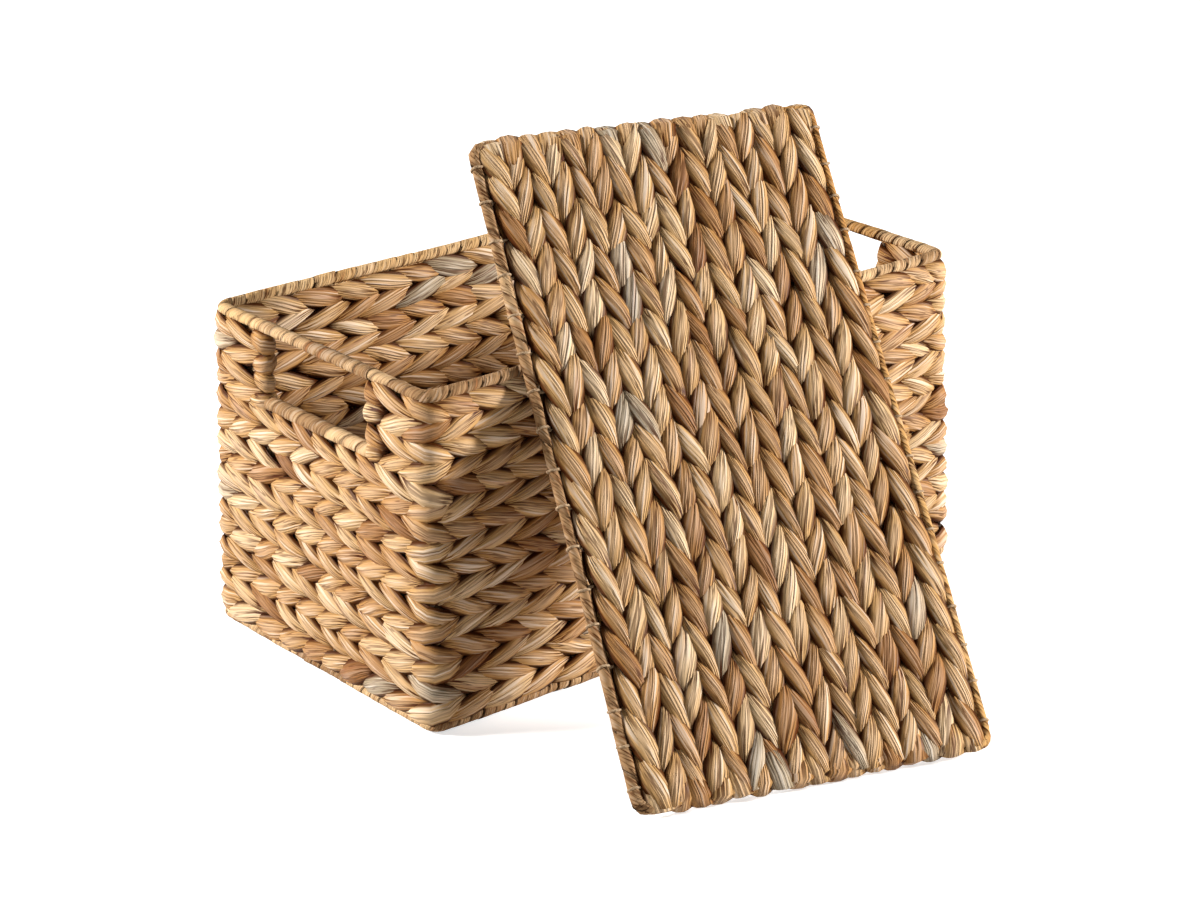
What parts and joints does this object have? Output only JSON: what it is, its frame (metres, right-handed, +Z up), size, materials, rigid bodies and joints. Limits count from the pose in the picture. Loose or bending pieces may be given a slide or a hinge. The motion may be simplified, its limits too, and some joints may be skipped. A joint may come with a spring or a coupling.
{
  "type": "woven lidded box",
  "caption": "Rectangular storage box of twined water hyacinth on a wire frame, with a hand hold in each end and a flat loose lid that leans on its rim.",
  "frame": {"origin": "middle of the underside of the box, on the surface that it stands on", "axes": "+X along the length of the box, +Y from the front long wall with the leaning lid to the back one, +Z up"},
  "size_m": [0.4046, 0.433, 0.3078],
  "materials": {
    "hyacinth_weave": "dried plant stalk, matt with a faint sheen, honey to wheat with grey-green and brown stalks",
    "binding_strip": "flat split stalk wound round the wires, matt",
    "frame_wire": "dull drawn wire"
  },
  "bodies": {
    "box": {"box_frame": "frame_wire", "rim_binding_front": "binding_strip", "rim_binding_back": "binding_strip", "handle_grip_left": "binding_strip", "handle_grip_right": "binding_strip", "sill_binding_left": "binding_strip", "sill_binding_right": "binding_strip", "base_binding": "binding_strip", "course_01": "hyacinth_weave", "course_02": "hyacinth_weave", "course_03": "hyacinth_weave", "course_04": "hyacinth_weave", "course_05": "hyacinth_weave", "course_06": "hyacinth_weave", "course_07": "hyacinth_weave", "course_08": "hyacinth_weave", "course_09": "hyacinth_weave", "course_10": "hyacinth_weave", "course_11": "hyacinth_weave", "course_12": "hyacinth_weave", "course_13_front": "hyacinth_weave", "course_13_back": "hyacinth_weave", "course_14_front": "hyacinth_weave", "course_14_back": "hyacinth_weave", "course_15_front": "hyacinth_weave", "course_15_back": "hyacinth_weave", "course_16_front": "hyacinth_weave", "course_16_back": "hyacinth_weave", "base_plait_01": "hyacinth_weave", "base_plait_02": "hyacinth_weave", "base_plait_03": "hyacinth_weave", "base_plait_04": "hyacinth_weave", "base_plait_05": "hyacinth_weave", "base_plait_06": "hyacinth_weave", "base_plait_07": "hyacinth_weave"},
    "lid": {"lid_frame": "frame_wire", "lid_binding_left": "binding_strip", "lid_binding_right": "binding_strip", "lid_row_01": "hyacinth_weave", "lid_row_02": "hyacinth_weave", "lid_row_03": "hyacinth_weave", "lid_row_04": "hyacinth_weave", "lid_row_05": "hyacinth_weave", "lid_row_06": "hyacinth_weave", "lid_row_07": "hyacinth_weave", "lid_row_08": "hyacinth_weave", "lid_row_09": "hyacinth_weave", "lid_row_10": "hyacinth_weave", "lid_row_11": "hyacinth_weave", "lid_row_12": "hyacinth_weave", "lid_row_13": "hyacinth_weave", "lid_row_14": "hyacinth_weave", "lid_row_15": "hyacinth_weave", "lid_row_16": "hyacinth_weave", "lid_row_17": "hyacinth_weave"}
  },
  "joints": [
    {"name": "lid_lift", "type": "slide", "parent": "box", "child": "lid", "axis": [0, 0, 1], "range_m": [0, 0.25]}
  ]
}
